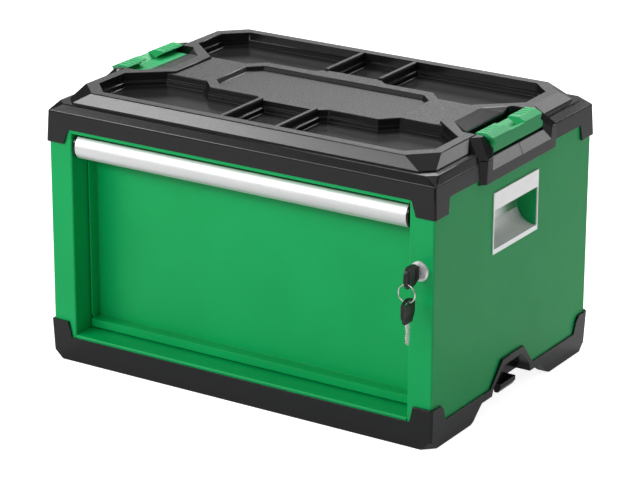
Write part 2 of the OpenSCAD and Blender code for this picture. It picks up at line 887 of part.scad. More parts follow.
// A round wire along points in planes square to Y, with a ring at each point
module wire(points, r) {
    sides = 6;
    last = len(points) - 1;
    rings = [for (i = [0:last])
        let (along = points[min(i + 1, last)] - points[max(i - 1, 0)],
             out = cross(along, [0, 1, 0]) / norm(cross(along, [0, 1, 0])),
             over = cross(out, along) / norm(along))
        for (k = [0:sides - 1])
            points[i] + r * (cos(k * 60) * out + sin(k * 60) * over)];
    skin = [for (i = [0:last - 1], k = [0:sides - 1])
        let (a = i * sides + k, b = i * sides + (k + 1) % sides)
        each [[a, a + sides, b], [b, a + sides, b + sides]]];
    ends = [for (k = [1:sides - 2])
        each [[0, k, k + 1],
              [last * sides, last * sides + k + 1, last * sides + k]]];
    polyhedron(points = rings, faces = concat(skin, ends));
}

// Torsion spring around the pin, one leg down into the cover, one up into the latch
module latch_spring() {
    rings = 8;
    steps = spring_turns * rings;
    pitch = 2 * spring_half / steps;
    coil = [for (i = [0:steps])
        [-spring_radius * cos(360 * i / rings), i * pitch - spring_half,
         spring_radius * sin(360 * i / rings)]];
    low = [-spring_radius, -spring_half, z_notch - 2.3 - latch_z];
    high = [-spring_radius, spring_half, 8.3];
    color(bright_metal)
    translate([latch_x, 0, latch_z])
        wire(concat([low, [low[0], low[1], -1]], coil, [[high[0], high[1], 1], high]), 0.5);
}

module latch_spring_left() {
    mirror([1, 0, 0]) latch_spring();
}

module latch_spring_right() {
    latch_spring();
}

// ---------- side grips ----------

// Scoop section with its hollow side grown by a margin
module scoop_shape(grow) {
    mid = grip_low + grip_lip + scoop_radius;
    high = grip_high - 3.5;
    r = scoop_radius + grow;
    small = 13 + grow;
    intersection() {
        union() {
            translate([hw, mid]) circle(r = r, $fn = 64);
            translate([hw - r, mid]) square([r + 5, high - 13 - mid]);
            translate([hw - scoop_radius + 13, high - 13]) circle(r = small, $fn = 48);
            translate([hw - scoop_radius + 13, high - 13]) square([30, small]);
        }
        translate([hw - r, mid - r]) square([r + 5, 200]);
    }
}

module grip() {
    z_lip = grip_low + grip_lip;
    z_band = z_lip + grip_opening;
    color(bright_metal)
    difference() {
        union() {
            block([hw, -grip_half, grip_low], [hw + grip_wall, grip_half, grip_high]);
            along_y(-scoop_half, scoop_half)
                intersection() {
                    scoop_shape(grip_wall);
                    square([hw + 0.5, 400]);
                }
        }
        along_y(-far, far)
            intersection() {
                scoop_shape(0);
                square([hw, 400]);
            }
        block([hw - 1, 1.8 - grip_half, z_lip], [hw + 5, grip_half - 1.8, z_band]);
    }
}

module grip_left() {
    mirror([1, 0, 0]) grip();
}

module grip_right() {
    grip();
}

module grip_cheeks() {
    y1 = scoop_half + sheet;
    color(steel_green)
    for (flip = [0, 1])
        mirror([0, flip, 0]) {
            block([hw - scoop_radius - 4, scoop_half, grip_low],
                  [hw - sheet, y1, grip_high]);
            block([hw - sheet - e, scoop_half, window_low + 0.2],
                  [hw, y1, window_high - 0.2]);
            block([hw - 2 * sheet, y1 - e, grip_low],
                  [hw - sheet, y1 + 11, grip_high]);
        }
}

module grip_cheeks_left() {
    mirror([1, 0, 0]) grip_cheeks();
}

module grip_cheeks_right() {
    grip_cheeks();
}

// ---------- lock and keys ----------

module lock_barrel() {
    color(bright_metal)
    difference() {
        union() {
            bar_y(lock_x, lock_level, barrel_radius, -hd - e, lock_depth - hd);
            translate([lock_x, -hd, lock_level]) rotate([90, 0, 0]) {
                cylinder(r = bezel_radius, h = 2.2);
                translate([0, 0, 2.2 - e])
                    cylinder(r1 = bezel_radius, r2 = bezel_radius - 2.2, h = 2);
            }
        }
        bar_y(lock_x, lock_level, plug_radius + plug_clearance, -hd - 10, far);
    }
}

module lock_nut() {
    color(zinc)
    difference() {
        translate([lock_x, sheet - hd + 3.5, lock_level])
            rotate([90, 0, 0])
                cylinder(r = bezel_radius + 1.1, h = 3.5, $fn = 6);
        bar_y(lock_x, lock_level, barrel_radius, -far, far);
    }
}

module lock_plug() {
    front = y_front - 4.4;
    color(bright_metal)
    difference() {
        union() {
            bar_y(lock_x, lock_level, plug_radius, front, lock_depth - hd);
            block([lock_x - 3, lock_depth - hd - e, lock_level - 3],
                  [lock_x + 3, lock_depth - hd + 2, lock_level + 3]);
        }
        block([lock_x - 1.05, front - 1, lock_level - blade_width / 2 - 0.05],
              [lock_x + 1.05, front + 19, lock_level + blade_width / 2 + 0.05]);
        bar_y(lock_x, lock_level, 1.6, lock_depth - hd - 5, far);
    }
}

module lock_cam() {
    y0 = lock_depth - hd;
    color(zinc)
    difference() {
        union() {
            bar_y(lock_x, lock_level, 8, y0, y0 + 2);
            block([lock_x - 5, y0, lock_level],
                  [lock_x + 5, y0 + 2, lock_level + cam_reach]);
        }
        block([lock_x - 3, y0 - 1, lock_level - 3], [lock_x + 3, y0 + 3, lock_level + 3]);
    }
}

module cam_screw() {
    y0 = lock_depth - hd + 2;
    color(zinc) {
        bar_y(lock_x, lock_level, 1.6, y0 - 6, y0 + e);
        bar_y(lock_x, lock_level, 5, y0, y0 + 1.6);
    }
}

// A toothed blade lying along +Y from the origin, flat in the YZ plane
module blade(length) {
    half = blade_width / 2;
    along_x(-1, 1)
        difference() {
            polygon([[0, -half], [length - 4, -half], [length, -half + 3.2],
                     [length, half - 3.4], [length - 3, half], [0, half]]);
            for (i = [0:5])
                translate([6 + i * (length - 9) / 6, -half])
                    polygon([[-1.5, -1], [-0.4, 0.6 + 0.5 * ((i * 3) % 4)],
                             [0.4, 0.6 + 0.5 * ((i * 3) % 4)], [1.5, -1]]);
        }
}

// A moulded key head: narrow neck at the origin, widening along -Y
module bow() {
    half = bow_width / 2;
    slim = half - 5.5;
    thick = bow_thickness / 2;
    difference() {
        union() {
            along_x(-thick, thick)
                difference() {
                    union() {
                        polygon([[0, -slim], [-4, -slim - 1.5], [-8, -half + 1],
                                 [-13, -half], [6 - bow_length, -half],
                                 [6 - bow_length, half], [-13, half], [-8, half - 1],
                                 [-4, slim + 1.5], [0, slim]]);
                        intersection() {
                            translate([9 - bow_length, 0])
                                scale([0.62, 1]) circle(r = half, $fn = 48);
                            translate([-bow_length, -half]) square([12, 2 * half]);
                        }
                    }
                    translate([6 - bow_length, 2.5 - slot_half])
                        circle(r = 2.5, $fn = 24);
                    translate([6 - bow_length, slot_half - 2.5])
                        circle(r = 2.5, $fn = 24);
                    translate([3.5 - bow_length, 2.5 - slot_half])
                        square([5, 2 * slot_half - 5]);
                }
            for (y = [-3.5, -6, -8.5])
                block([-thick - 0.5, y - 0.6, -slim + 1],
                      [thick + 0.5, y + 0.6, slim - 1]);
        }
        block([-1, -14, -blade_width / 2], [1, 1, blade_width / 2]);
    }
}

module key_blade() {
    color(bright_metal)
    translate([lock_x, key_y, lock_level]) {
        blade(18.5);
        block([-1, -14, -blade_width / 2], [1, e, blade_width / 2]);
    }
}

module key_bow() {
    color(moulded_black)
    translate([lock_x, key_y, lock_level]) bow();
}

// The spare key hangs blade down
module spare_frame() {
    translate([lock_x, spare_y, spare_top - bow_length + 3.5])
        rotate([-90, 0, 0])
            children();
}

module spare_key_blade() {
    color(bright_metal)
    spare_frame() {
        blade(blade_length);
        block([-1, -14, -blade_width / 2], [1, e, blade_width / 2]);
    }
}

module spare_key_bow() {
    color(moulded_black)
    spare_frame() bow();
}

module key_ring() {
    color(bright_metal)
    translate([lock_x, slot_y, ring_z])
        rotate([90, 0, 0])
            rotate_extrude()
                translate([ring_radius, 0]) circle(r = ring_wire, $fn = 24);
}

// ---------- drawer ----------

module drawer_front() {
    s = drawer_sheet;
    color(steel_green) {
        difference() {
            block([-front_x, y_face, z_low], [front_x, y_box, z_high]);
            for (x = pull_screw_x)
                bar_y(x, pull_screw_z, 1.8, -far, far);
        }
        // Side rims with a closed hem, cut back near the bottom
        both_sides()
            difference() {
                union() {
                    block([front_x - s, y_lip, z_low], [front_x, y_face + e, z_high]);
                    block([front_x - 2 * s, y_lip, z_low], [front_x, y_lip + 9, z_high]);
                }
                along_x(-far, far)
                    polygon([[y_lip - 1, z_ledge_top], [y_lip + 4, z_ledge_top],
                             [y_lip - 1, z_ledge_top + 8]]);
            }
        // Ledge along the bottom
        block([s - front_x, y_lip, z_ledge_top - s],
              [front_x - s, y_face + e, z_ledge_top]);
        block([s - front_x, y_lip, z_low], [front_x - s, y_lip + s, z_ledge_top]);
        block([s - front_x, y_lip, z_low], [front_x - s, y_face + e, z_low + s]);
        // Box along the top that carries the pull
        block([s - front_x, y_lip, z_high - s], [front_x - s, y_face + e, z_high]);
        difference() {
            block([s - front_x, y_lip, pull_low + 3],
                  [front_x - s, y_lip + s, z_high]);
            for (x = pull_screw_x)
                bar_y(x, pull_screw_z, 1.8, -far, far);
        }
        block([s - front_x, y_lip, pull_low + 3],
              [front_x - s, y_face + e, pull_low + 3 + s]);
    }
}

// Outside shape of the pull
module pull_outline() {
    difference() {
        union() {
            translate([pull_axis, pull_mid]) circle(r = pull_radius, $fn = 96);
            translate([pull_edge, pull_low]) square([y_lip - pull_edge, pull_height]);
        }
        translate([y_front - 5, pull_top]) square([60, 30]);
        translate([y_front - 5, pull_low - 30]) square([60, 30]);
        translate([y_lip, pull_low - 30]) square([60, 90]);
    }
}

module drawer_pull() {
    w = pull_wall;
    color(bright_metal)
    difference() {
        along_x(-pull_x + cap_thickness, pull_x - cap_thickness) pull_outline();
        // Finger room, open downwards at the back
        along_x(-far, far)
            difference() {
                union() {
                    intersection() {
                        translate([pull_axis, pull_mid])
                            circle(r = pull_radius - w, $fn = 96);
                        translate([y_front, pull_low + w])
                            square([pull_edge - y_front + 5, pull_height - 2 * w]);
                    }
                    translate([pull_edge + 4, pull_low + w])
                        square([y_lip - w - pull_edge - 4, pull_height - 2 * w]);
                    translate([pull_edge + 8, pull_low - 5])
                        square([y_lip - w - pull_edge - 8, 15]);
                }
                // Thickened root under the top flange
                polygon([[y_lip - 6, pull_top], [y_lip, pull_top], [y_lip, pull_top - 6]]);
            }
        for (x = pull_screw_x)
            bar_y(x, pull_screw_z, 1.8, y_lip - 5, far);
    }
}

module pull_cap(x0, x1) {
    color(moulded_black)
    along_x(x0, x1) pull_outline();
}

module pull_cap_left() {
    pull_cap(-pull_x, cap_thickness - pull_x);
}

module pull_cap_right() {
    pull_cap(pull_x - cap_thickness, pull_x);
}

module pull_screws() {
    color(zinc)
    for (x = pull_screw_x) {
        bar_y(x, pull_screw_z, 1.8, y_lip - pull_wall, y_lip + 6);
        bar_y(x, pull_screw_z, 3.5, y_lip + drawer_sheet, y_lip + drawer_sheet + 1.8);
    }
}

drawer_top = z_box + drawer_wall;
rivet_start = slide_level + slide_height / 2 + 11;
drawer_rivet_levels = [z_box + 14, rivet_start, (rivet_start + drawer_top - 10) / 2,
                       drawer_top - 10];

module drawer_shell() {
    s = drawer_sheet;
    color(steel_green) {
        block([-slide_x, y_box, z_box], [slide_x, y_tail, z_box + s]);
        both_sides() {
            difference() {
                block([slide_x - s, y_box, z_box], [slide_x, y_tail, drawer_top - 2]);
                for (level = drawer_rivet_levels)
                    bar_x(y_tail - 8, level, 1.6, 0, far);
                rail_screw_places() bar_x(0, 0, 1.6, 0, far);
            }
            bar_y(slide_x - 2, drawer_top - 2, 2, y_box, y_tail);
        }
        block([-slide_x + s, y_box, z_box], [slide_x - s, y_box + s, drawer_top - 2]);
        translate([s - slide_x, y_box + 2, drawer_top - 2])
            rotate([0, 90, 0])
                cylinder(r = 2, h = 2 * (slide_x - s));
    }
}

module drawer_back() {
    s = drawer_sheet;
    color(steel_green)
    difference() {
        union() {
            block([s - slide_x, y_tail - s, z_box + s],
                  [slide_x - s, y_tail, drawer_top - 4]);
            both_sides()
                block([slide_x - 2 * s, y_tail - 14, z_box + s],
                      [slide_x - s, y_tail - s + e, drawer_top - 4.2]);
            translate([4 - slide_x, y_tail - 2, drawer_top - 4])
                rotate([0, 90, 0])
                    cylinder(r = 2, h = 2 * (slide_x - 4));
        }
        for (level = drawer_rivet_levels)
            bar_x(y_tail - 8, level, 1.6, -far, far);
    }
}

module drawer_rivets() {
    color(zinc)
    both_sides()
        for (level = drawer_rivet_levels) {
            bar_x(y_tail - 8, level, 1.6, slide_x - 2 * drawer_sheet - 1, slide_x + e);
            bar_x(y_tail - 8, level, 2.8, slide_x, slide_x + 0.8);
        }
}

// ---------- slides ----------

// A channel lying on its side: web at x0, lips reaching to x1
module channel(x0, x1, half, y0, y1) {
    web = x1 > x0 ? [x0, x0 + rail_wall] : [x0 - rail_wall, x0];
    low = min(x0, x1);
    high = max(x0, x1);
    along_y(y0, y1) {
        translate([web[0], slide_level - half]) square([rail_wall, 2 * half]);
        translate([low, slide_level - half]) square([high - low, rail_wall]);
        translate([low, slide_level + half - rail_wall]) square([high - low, rail_wall]);
    }
}

outer_half = slide_height / 2;
middle_half = outer_half - rail_wall - rail_clearance;
inner_half = middle_half - rail_wall - rail_clearance;

module slide_outer() {
    color(zinc)
    difference() {
        channel(open_x, slide_x + 1.6, outer_half, y_box + 0.5, y_box + rail_length);
        rail_screw_places() bar_x(0, 0, 2.1, 0, far);
    }
}

module slide_middle() {
    color(zinc) {
        channel(slide_x + 8.4, slide_x + 1.8, middle_half,
                y_box + 2.5, y_box + rail_length - 8);
        channel(slide_x + 7.01, slide_x + 9.6, middle_half,
                y_box + 2.5, y_box + rail_length - 8);
    }
}

module slide_inner() {
    color(zinc)
    difference() {
        channel(slide_x, slide_x + 6.2, inner_half, y_box + 0.5, y_box + rail_length - 2);
        rail_screw_places() bar_x(0, 0, 2.1, 0, far);
    }
}

module outer_rail_screws() {
    color(zinc)
    both_sides()
        rail_screw_places() {
            bar_x(0, 0, 1.6, open_x - rail_wall - e, open_x + 5);
            bar_x(0, 0, 3.6, open_x - rail_wall - 1.2, open_x - rail_wall);
        }
}

module inner_rail_screws() {
    color(zinc)
    both_sides()
        rail_screw_places() {
            bar_x(0, 0, 1.6, slide_x - 2.4, slide_x + rail_wall + e);
            bar_x(0, 0, 3.4, slide_x + rail_wall, slide_x + rail_wall + 1.2);
        }
}

module slide_outer_left() {
    mirror([1, 0, 0]) slide_outer();
}

module slide_outer_right() {
    slide_outer();
}

module slide_middle_left() {
    mirror([1, 0, 0]) slide_middle();
}

module slide_middle_right() {
    slide_middle();
}

module slide_inner_left() {
    mirror([1, 0, 0]) slide_inner();
}

module slide_inner_right() {
    slide_inner();
}

side_panel_left();
side_panel_right();
back_panel();
floor_panel();
top_panel();
slide_carrier_left();
slide_carrier_right();
back_rivets();
top_cover();
cover_screws();
base();
base_screws();
base_catch_left();
base_catch_right();
catch_screws();
grip_left();
grip_right();
grip_cheeks_left();
grip_cheeks_right();
latch_pin_left();
latch_pin_right();
latch_spring_left();
latch_spring_right();
lock_barrel();
lock_nut();
slide_outer_left();
slide_outer_right();
slide_middle_left();
slide_middle_right();
slide_inner_left();
slide_inner_right();
outer_rail_screws();
inner_rail_screws();
drawer_front();
drawer_pull();
pull_cap_left();
pull_cap_right();
pull_screws();
drawer_shell();
drawer_back();
drawer_rivets();
latch_left();
latch_right();
lock_plug();
lock_cam();
cam_screw();
key_blade();
key_bow();
key_ring();
spare_key_blade();
spare_key_bow();
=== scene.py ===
"""Looks of the stackable tool box: finishes, rounded edges, small fittings, light and camera."""
import json
import math
from collections import Counter, namedtuple

import bmesh
import bpy
from mathutils import Matrix, Vector
from mathutils.bvhtree import BVHTree


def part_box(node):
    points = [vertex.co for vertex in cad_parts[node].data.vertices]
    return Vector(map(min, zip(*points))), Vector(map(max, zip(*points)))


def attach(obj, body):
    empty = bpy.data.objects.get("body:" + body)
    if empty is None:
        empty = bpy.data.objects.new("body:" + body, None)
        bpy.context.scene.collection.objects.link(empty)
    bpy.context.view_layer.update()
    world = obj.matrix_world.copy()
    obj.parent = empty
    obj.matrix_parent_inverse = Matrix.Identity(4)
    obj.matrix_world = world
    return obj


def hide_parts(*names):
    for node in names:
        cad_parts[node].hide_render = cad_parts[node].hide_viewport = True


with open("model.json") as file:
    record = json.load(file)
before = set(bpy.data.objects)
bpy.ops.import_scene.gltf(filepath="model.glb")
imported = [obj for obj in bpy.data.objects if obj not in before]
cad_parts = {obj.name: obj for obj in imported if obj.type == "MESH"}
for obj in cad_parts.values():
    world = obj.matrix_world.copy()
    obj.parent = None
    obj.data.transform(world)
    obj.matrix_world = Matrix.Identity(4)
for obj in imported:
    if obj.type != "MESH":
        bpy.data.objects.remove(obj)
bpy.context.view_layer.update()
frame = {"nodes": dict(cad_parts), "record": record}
nodes = frame["nodes"]
groups = frame["record"]["behaviour"]["bodies"]
slot_of = {part["node"]: part["material_slot"] for part in frame["record"]["subparts"]}

MM = 0.001
SIDES = ("left", "right")


def body_holding(node):
    """The name of the body that a CAD node belongs to."""
    return next(name for name, members in groups.items() if node in members)


def new_object(name, data):
    """An object for a mesh, a lamp or a camera, placed in the scene."""
    obj = bpy.data.objects.new(name, data)
    bpy.context.scene.collection.objects.link(obj)
    return obj


# ---------- finishes ----------

class Finish:
    """A material with one Principled shader, built up from small named steps."""

    def __init__(self, name, colour, roughness, metallic=0.0):
        self.material = bpy.data.materials.new(name)
        self.material.use_nodes = True
        self.material.diffuse_color = (*colour, 1.0)
        self.tree = self.material.node_tree
        self.shader = self.tree.nodes["Principled BSDF"]
        self.colour = colour
        self.socket("Base Color", (*colour, 1.0))
        self.socket("Roughness", roughness)
        self.socket("Metallic", metallic)
        self.place = self.tree.nodes.new("ShaderNodeTexCoord")
        self.relief = None

    def socket(self, name, value):
        """Sets one of the shader's own sockets."""
        self.shader.inputs[name].default_value = value

    def link(self, out, into):
        """Links an output to an input."""
        self.tree.links.new(out, into)

    def stretched(self, stretch):
        """Object coordinates, stretched along the axes."""
        mapping = self.tree.nodes.new("ShaderNodeMapping")
        mapping.inputs["Scale"].default_value = stretch
        self.link(self.place.outputs["Object"], mapping.inputs["Vector"])
        return mapping.outputs["Vector"]

    def noise(self, size, detail=3.0, rough=0.55, stretch=(1, 1, 1)):
        """Noise whose features are about size metres across."""
        node = self.tree.nodes.new("ShaderNodeTexNoise")
        node.inputs["Scale"].default_value = 1.0 / size
        node.inputs["Detail"].default_value = detail
        node.inputs["Roughness"].default_value = rough
        self.link(self.stretched(stretch), node.inputs["Vector"])
        return node.outputs["Fac"]

    def pebbles(self, size, blur=0.35):
        """Rounded cells about size metres across, as on a leather-grained mould."""
        node = self.tree.nodes.new("ShaderNodeTexVoronoi")
        node.feature = "SMOOTH_F1"
        node.inputs["Scale"].default_value = 1.0 / size
        node.inputs["Smoothness"].default_value = blur
        self.link(self.place.outputs["Object"], node.inputs["Vector"])
        return node.outputs["Distance"]

    def ramp(self, fac, low, high, bottom, top):
        """A value that runs from bottom to top while fac runs from low to high."""
        node = self.tree.nodes.new("ShaderNodeMapRange")
        node.inputs["From Min"].default_value = low
        node.inputs["From Max"].default_value = high
        node.inputs["To Min"].default_value = bottom
        node.inputs["To Max"].default_value = top
        self.link(fac, node.inputs["Value"])
        return node.outputs["Result"]

    def mottle(self, fac, other, low=0.35, high=0.65):
        """The colour drifts towards another one where fac is high."""
        mix = self.tree.nodes.new("ShaderNodeMix")
        mix.data_type = "RGBA"
        mix.inputs["A"].default_value = (*self.colour, 1.0)
        mix.inputs["B"].default_value = (*other, 1.0)
        self.link(self.ramp(fac, low, high, 0.0, 1.0), mix.inputs["Factor"])
        self.link(mix.outputs["Result"], self.shader.inputs["Base Color"])

    def gloss(self, fac, smooth, rough, low=0.3, high=0.7):
        """The roughness drifts between two values."""
        self.link(self.ramp(fac, low, high, smooth, rough), self.shader.inputs["Roughness"])

    def emboss(self, height, strength, depth):
        """Adds a height pattern to the surface, on top of any before it."""
        bump = self.tree.nodes.new("ShaderNodeBump")
        bump.inputs["Strength"].default_value = strength
        bump.inputs["Distance"].default_value = depth
        self.link(height, bump.inputs["Height"])
        if self.relief:
            self.link(self.relief, bump.inputs["Normal"])
        self.relief = bump.outputs["Normal"]
        self.link(self.relief, self.shader.inputs["Normal"])


def powder_coat(name, colour, deeper):
    """Smooth powder coat: faint orange peel, faint drift in tone and gloss."""
    finish = Finish(name, colour, roughness=0.36)
    finish.mottle(finish.noise(size=90 * MM, detail=2.0), deeper)
    finish.gloss(finish.noise(size=30 * MM), smooth=0.33, rough=0.41)
    finish.emboss(finish.noise(size=2.8 * MM, detail=2.0), strength=0.10, depth=0.06 * MM)
    finish.socket("Specular IOR Level", 0.25)
    return finish.material


def grained_moulding_with_sheen(name, colour, paler, depth):
    """Black plastic with the pebbled grain of a textured mould; its paler tone and paler flecks
    are painted sheen.
    """
    finish = Finish(name, colour, roughness=0.5)
    finish.mottle(finish.noise(size=1.9 * MM, detail=2.0), paler, low=0.42, high=0.68)
    finish.gloss(finish.noise(size=2.2 * MM, detail=2.0), smooth=0.50, rough=0.66,
                 low=0.4, high=0.6)
    finish.emboss(finish.pebbles(size=2.1 * MM), strength=0.9, depth=depth)
    finish.emboss(finish.noise(size=0.8 * MM, detail=2.0), strength=0.3, depth=depth * 0.4)
    return finish.material


def satin_moulding(name, colour, paler, smooth=0.20, rough=0.25, shine=0.36):
    """Smooth moulded plastic with a very fine spark-eroded texture."""
    finish = Finish(name, colour, roughness=(smooth + rough) / 2)
    finish.mottle(finish.noise(size=1.2 * MM), paler, low=0.4, high=0.75)
    finish.gloss(finish.noise(size=1.5 * MM, detail=2.0), smooth, rough)
    finish.emboss(finish.noise(size=0.6 * MM, detail=2.0), strength=0.15, depth=0.03 * MM)
    finish.socket("Specular IOR Level", shine)
    return finish.material


def brushed_metal(name, colour, roughness, stretch, size=0.4 * MM, metallic=1.0):
    """Metal with fine lines along one direction."""
    finish = Finish(name, colour, roughness, metallic)
    lines = finish.noise(size, rough=0.6, stretch=stretch)
    finish.gloss(lines, smooth=roughness * 0.9, rough=roughness * 1.1)
    finish.emboss(lines, strength=0.10, depth=0.02 * MM)
    finish.mottle(finish.noise(size=20 * MM), tuple(part * 0.97 for part in colour))
    return finish.material


def zinc_plate(name, colour, roughness, metallic=1.0):
    """Bright plating: soft cloudy patches of tone and gloss."""
    finish = Finish(name, colour, roughness, metallic)
    finish.mottle(finish.noise(size=6 * MM, detail=4.0), tuple(part * 0.82 for part in colour))
    finish.gloss(finish.noise(size=3.5 * MM, detail=4.0), smooth=roughness * 0.75,
                 rough=roughness * 1.3)
    finish.emboss(finish.noise(size=0.7 * MM, detail=2.0), strength=0.08, depth=0.02 * MM)
    return finish.material


# Colours in linear light
GREEN = (0.001, 0.400, 0.106)
GREEN_DEEP = (0.001, 0.375, 0.097)
LATCH_GREEN = (0.020, 0.400, 0.130)
LATCH_PALE = (0.030, 0.440, 0.150)
BLACK = (0.008, 0.008, 0.0082)
BLACK_PALE = (0.011, 0.011, 0.0112)
KEY_PALE = (0.022, 0.022, 0.022)
# Grained black, and the paler black it is flecked with: real grain, with painted sheen in the
# paler colour
GRAIN_SHEEN_BLACK = (0.020, 0.020, 0.0202)
GRAIN_SHEEN_FLECK = (0.090, 0.090, 0.0905)
ALUMINIUM = (0.83, 0.83, 0.835)
ALUMINIUM_BRIGHT = (0.95, 0.95, 0.95)
# Pale, nearly non-metallic aluminium for the grips' scoops: a painted reflection of the bright
# surroundings
ALUMINIUM_PALE_REFLECTION = (0.93, 0.93, 0.93)
ZINC = (0.62, 0.63, 0.64)
SPRING_STEEL = (0.42, 0.42, 0.43)
CHROME = (0.95, 0.95, 0.96)
NICKEL = (0.72, 0.72, 0.70)

# How far the brushing lines are drawn out, by axis
ALONG_PULL = (0.02, 1, 1)
ALONG_GRIP = (1, 0.02, 1)
ALONG_BLADE = (1, 1, 0.05)

paint = powder_coat("green_powder_coat", GREEN, GREEN_DEEP)
moulded = satin_moulding("moulded_black", BLACK, BLACK_PALE)
# Grained tops: real pebbled grain, painted paler as the sheen it catches
grained_sheen = grained_moulding_with_sheen("grained_black_painted_sheen", GRAIN_SHEEN_BLACK, GRAIN_SHEEN_FLECK, depth=0.28 * MM)
tray_wall = satin_moulding("moulded_black_dull", BLACK, BLACK_PALE,
                           smooth=0.36, rough=0.44, shine=0.24)
latch_plastic = satin_moulding("moulded_green", LATCH_GREEN, LATCH_PALE,
                               smooth=0.38, rough=0.48)
key_plastic = satin_moulding("key_head_plastic", BLACK, KEY_PALE, smooth=0.34, rough=0.42)
aluminium = brushed_metal("satin_aluminium", ALUMINIUM, 0.50, ALONG_PULL)
grip_metal = brushed_metal("satin_aluminium_grip", ALUMINIUM_BRIGHT, 0.34, ALONG_GRIP)
# The scoop's finish is a painted reflection: pale and almost without metal, so it stays bright
scoop_painted_reflection = brushed_metal("satin_aluminium_scoop_painted_reflection", ALUMINIUM_PALE_REFLECTION, 0.48, ALONG_GRIP,
                            metallic=0.05)
key_metal = brushed_metal("nickelled_key", NICKEL, 0.26, ALONG_BLADE, size=0.3 * MM)
zinc = zinc_plate("zinc_plate", ZINC, 0.34)
spring = zinc_plate("spring_wire", SPRING_STEEL, 0.30)
chrome = zinc_plate("satin_chrome", CHROME, 0.30, metallic=0.45)

SLOT_FINISH = {
    "painted_steel": paint, "black_moulding": moulded, "green_moulding": latch_plastic,
    "satin_aluminium": aluminium, "zinc_steel": zinc, "spring_steel": spring,
    "bright_chrome": chrome, "key_steel": key_metal, "key_plastic": key_plastic,
}


def dress_cad_nodes():
    """Every carried-over CAD node takes the finish of its slot."""
    for name, obj in nodes.items():
        obj.data.materials.clear()
        obj.data.materials.append(SLOT_FINISH[slot_of[name]])


def paint_faces(obj, *choices):
    """Gives faces another finish: each choice is a finish and a test on centre and normal."""
    for finish, chosen in choices:
        obj.data.materials.append(finish)
        index = len(obj.data.materials) - 1
        for face in obj.data.polygons:
            if chosen(face.center, face.normal):
                face.material_index = index


# ---------- rounded copies of the solids ----------

WELDED = 0.03 * MM                # corners nearer than this become one
SLIVER = 0.01 * MM                # edges shorter than this are closed up
SAME_PLANE = math.radians(0.6)    # faces within this angle become one flat face
SHARP = math.radians(12)          # edges sharper than this are rounded
FAINT = math.radians(2)           # gentlest crease that shows on the large mouldings
ROUNDING_STEPS = 2

OFF_SURFACE = 1.1                 # radii a rounding may stand off the solid
BESIDE_FACE = 0.2                 # radii a flat's corner may lie from its own face
FLAT_AGREEMENT = 0.9              # least agreement of a flat's normal with its own face
SMALLEST_FACE = 1e-10             # square metres; nothing smaller is judged


def whole_faces(node):
    """A CAD node with its loose triangles joined into whole flat faces."""
    work = bmesh.new()
    work.from_mesh(nodes[node].data)
    bmesh.ops.remove_doubles(work, verts=work.verts, dist=WELDED)
    bmesh.ops.dissolve_degenerate(work, edges=work.edges, dist=SLIVER)
    bmesh.ops.dissolve_limit(work, angle_limit=SAME_PLANE, verts=work.verts, edges=work.edges)
    work.normal_update()
    for parts in (work.verts, work.edges, work.faces):
        parts.index_update()
        parts.ensure_lookup_table()
    return work


def bevelled(flat, chosen, radius):
    """A copy of a flat-faced mesh with the chosen edges rounded, and the new strips."""
    work = flat.copy()
    work.edges.ensure_lookup_table()
    made = bmesh.ops.bevel(work, geom=[work.edges[index] for index in chosen],
                           offset=radius, offset_type="OFFSET", segments=ROUNDING_STEPS,
                           profile=0.5, affect="EDGES", clamp_overlap=False,
                           miter_outer="SHARP")
    work.normal_update()
    return work, set(made["faces"])


def left_own_face(surface, vert, own, radius):
    """Whether a corner of a flat no longer lies on the face that the flat came from."""
    near = surface.find_nearest_range(vert.co, BESIDE_FACE * radius)
    return all(index != own for _, _, index, _ in near)


def spoilt_corners(flat, work, strips, radius):
    """Corners of the flat-faced mesh at which a rounding left its faces or turned over."""
    source = work.faces.layers.int["source"]
    surface = BVHTree.FromBMesh(flat)
    astray = {vert for vert in work.verts
              if surface.find_nearest(vert.co)[3] > OFF_SURFACE * radius}
    for face in work.faces:
        least = 0.0 if face in strips else FLAT_AGREEMENT
        agreement = face.normal.dot(flat.faces[face[source]].normal)
        if face.calc_area() > SMALLEST_FACE and agreement < least:
            astray.update(face.verts)
        if face not in strips:
            astray.update(vert for vert in face.verts
                          if left_own_face(surface, vert, face[source], radius))
    corners = set()
    for vert in astray:
        shared = Counter(corner for face in vert.link_faces
                         for corner in flat.faces[face[source]].verts)
        most = max(shared.values())
        likely = [corner for corner in shared if shared[corner] == most]
        likely.sort(key=lambda corner: (corner.co - vert.co).length)
        corners.update(likely[:2])
    return corners


def round_edges(flat, radius):
    """Rounds every sharp edge, but for short ones whose rounding would fold over."""
    source = flat.faces.layers.int.new("source")
    for face in flat.faces:
        face[source] = face.index
    chosen = {edge.index for edge in flat.edges if edge.calc_face_angle(0.0) > SHARP}
    while True:
        work, strips = bevelled(flat, chosen, radius)
        dropped = set()
        for corner in spoilt_corners(flat, work, strips, radius):
            beside = [edge for edge in corner.link_edges if edge.index in chosen]
            if beside:
                dropped.add(min(beside, key=lambda edge: edge.calc_length()).index)
        if not dropped:
            return work, strips
        chosen -= dropped
        work.free()


def rounded(node, piece, finish, radius, crease=SHARP):
    """A copy of a CAD node with its sharp edges rounded, standing for that node."""
    flat = whole_faces(node)
    work, strips = round_edges(flat, radius)
    # The edges on each side of a rounding stay creased, so the flats shade flat
    for face in work.faces:
        face.smooth = True
    for edge in work.edges:
        rounds = sum(face in strips for face in edge.link_faces)
        even = edge.calc_face_angle(0.0) < crease
        edge.smooth = rounds == 2 or (rounds == 0 and even)
    work.faces.layers.int.remove(work.faces.layers.int["source"])
    mesh = bpy.data.meshes.new(piece)
    work.to_mesh(mesh)
    work.free()
    flat.free()
    mesh.materials.append(finish)
    obj = new_object(piece, mesh)
    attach(obj, body_holding(node))
    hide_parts(node)
    return obj


# ---------- the mouldings, sheets and plates ----------

